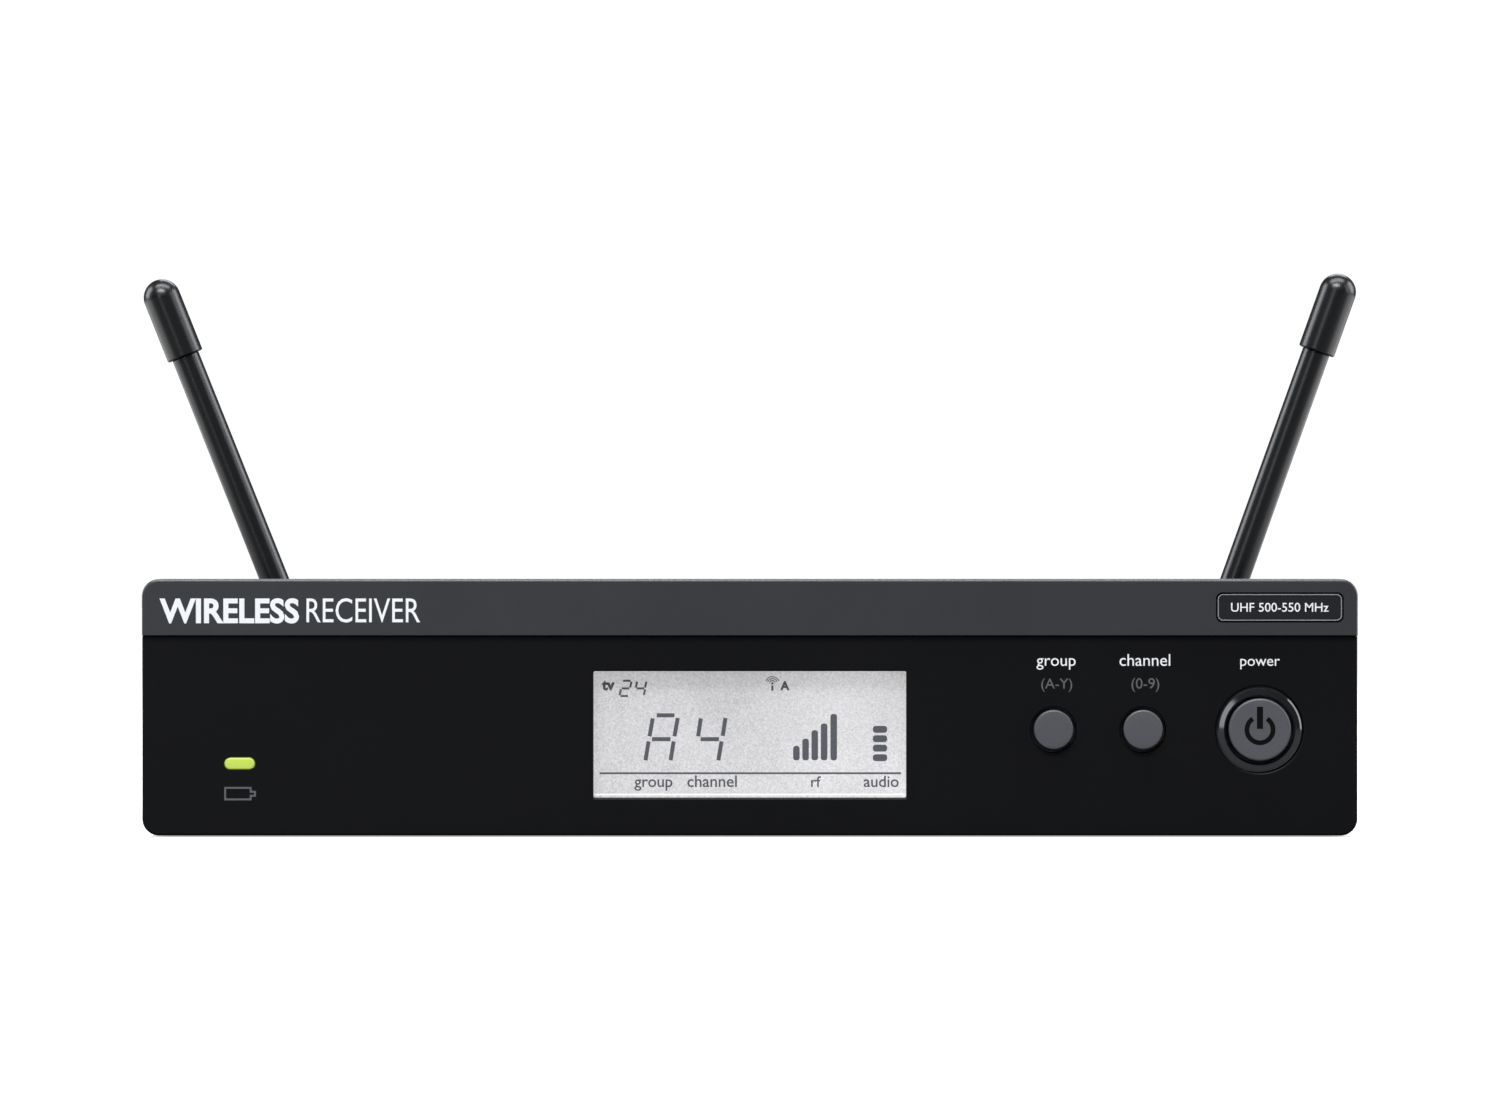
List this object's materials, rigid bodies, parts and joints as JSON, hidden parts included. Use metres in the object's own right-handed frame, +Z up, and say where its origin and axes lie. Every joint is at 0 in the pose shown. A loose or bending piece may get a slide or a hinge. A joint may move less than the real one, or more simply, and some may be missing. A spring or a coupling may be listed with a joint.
{
  "type": "wireless microphone receiver",
  "caption": "Half-rack wireless microphone receiver with a display and buttons in front, audio and antenna connectors behind, and tilting antennas.",
  "frame": {"origin": "middle of the whole object's footprint, on the surface the feet stand on", "axes": "+X to the right seen from the front, +Y from the front to the rear connectors, +Z up"},
  "size_m": [0.214, 0.1486, 0.0955],
  "materials": {
    "fascia_black": "satin moulded",
    "band_charcoal": "satin, faint metallic",
    "badge": "printed plate",
    "window": "clear",
    "display": "satin",
    "diffuser": "matte",
    "indicator": "translucent",
    "button": "satin",
    "ring": "polished",
    "case_paint": "fine textured powder coat",
    "screw": "blackened",
    "foot": "matte",
    "nickel": "satin nickel plate",
    "connector_plastic": "satin moulded",
    "contact": "gold plate",
    "can": "tin plate",
    "antenna": "satin moulded",
    "board": "solder resist",
    "switch": "matte",
    "lead": "satin"
  },
  "bodies": {
    "case": {"front_bezel": "fascia_black", "top_trim_band": "band_charcoal", "frequency_badge": "badge", "display_window": "window", "lcd_panel": "display", "lcd_backlight": "diffuser", "battery_light_pipe": "indicator", "power_ring": "ring", "top_cover": "case_paint", "chassis_tray": "case_paint", "rear_panel": "case_paint", "cover_screw_left_front": "screw", "cover_screw_left_rear": "screw", "cover_screw_right_front": "screw", "cover_screw_right_rear": "screw", "foot_front_left": "foot", "foot_front_right": "foot", "foot_rear_left": "foot", "foot_rear_right": "foot", "phone_jack_nut": "nickel", "dc_jack_pin": "nickel", "left_antenna_jack": "nickel", "right_antenna_jack": "nickel", "left_jack_nut": "nickel", "right_jack_nut": "nickel", "xlr_shell": "connector_plastic", "phone_jack": "connector_plastic", "dc_jack": "connector_plastic", "cord_tie_off": "connector_plastic", "xlr_pin_1": "contact", "xlr_pin_2": "contact", "xlr_pin_3": "contact", "volume_pot": "can", "rf_shield_can": "can", "main_board": "board", "display_board": "board", "group_switch": "switch", "channel_switch": "switch", "power_switch": "switch", "ribbon_cable": "lead", "left_coax_lead": "lead", "right_coax_lead": "lead"},
    "group_button_body": {"group_button": "button"},
    "channel_button_body": {"channel_button": "button"},
    "power_button_body": {"power_button": "button"},
    "volume_body": {"volume_shaft": "nickel", "volume_knob": "connector_plastic"},
    "left_collar": {"left_bayonet_collar": "nickel"},
    "right_collar": {"right_bayonet_collar": "nickel"},
    "left_swivel_base": {"left_plug_core": "nickel", "left_knuckle": "connector_plastic", "left_fold_pin": "nickel"},
    "right_swivel_base": {"right_plug_core": "nickel", "right_knuckle": "connector_plastic", "right_fold_pin": "nickel"},
    "left_rod": {"left_whip": "antenna", "left_whip_cap": "antenna"},
    "right_rod": {"right_whip": "antenna", "right_whip_cap": "antenna"}
  },
  "joints": [
    {"name": "group_button_press", "type": "slide", "parent": "case", "child": "group_button_body", "axis": [0, 1, 0], "range_m": [0, 0.0005], "stiffness_N_per_m": 1500, "springref_m": -0.0003},
    {"name": "channel_button_press", "type": "slide", "parent": "case", "child": "channel_button_body", "axis": [0, 1, 0], "range_m": [0, 0.0005], "stiffness_N_per_m": 1500, "springref_m": -0.0003},
    {"name": "power_button_press", "type": "slide", "parent": "case", "child": "power_button_body", "axis": [0, 1, 0], "range_m": [0, 0.0006], "stiffness_N_per_m": 1500, "springref_m": -0.0003},
    {"name": "volume_turn", "type": "hinge", "parent": "case", "child": "volume_body", "pos_m": [-0.036, 0.0483, 0.0198], "axis": [0, 1, 0], "range_deg": [-150, 150]},
    {"name": "left_collar_turn", "type": "hinge", "parent": "case", "child": "left_collar", "pos_m": [-0.07529, 0.0483, 0.0198], "axis": [0, 1, 0], "range_deg": [0, 90]},
    {"name": "left_swivel", "type": "hinge", "parent": "case", "child": "left_swivel_base", "pos_m": [-0.07529, 0.0483, 0.0198], "axis": [0, 1, 0], "range_deg": [-68.28, 91.72]},
    {"name": "left_fold", "type": "hinge", "parent": "left_swivel_base", "child": "left_rod", "pos_m": [-0.07529, 0.0703, 0.0198], "axis": [-0.929, 0, -0.3701], "range_deg": [0, 90]},
    {"name": "right_collar_turn", "type": "hinge", "parent": "case", "child": "right_collar", "pos_m": [0.07785, 0.0483, 0.0198], "axis": [0, 1, 0], "range_deg": [0, 90]},
    {"name": "right_swivel", "type": "hinge", "parent": "case", "child": "right_swivel_base", "pos_m": [0.07785, 0.0483, 0.0198], "axis": [0, 1, 0], "range_deg": [-89.68, 70.32]},
    {"name": "right_fold", "type": "hinge", "parent": "right_swivel_base", "child": "right_rod", "pos_m": [0.07785, 0.0703, 0.0198], "axis": [-0.9416, 0, 0.3368], "range_deg": [0, 90]}
  ]
}
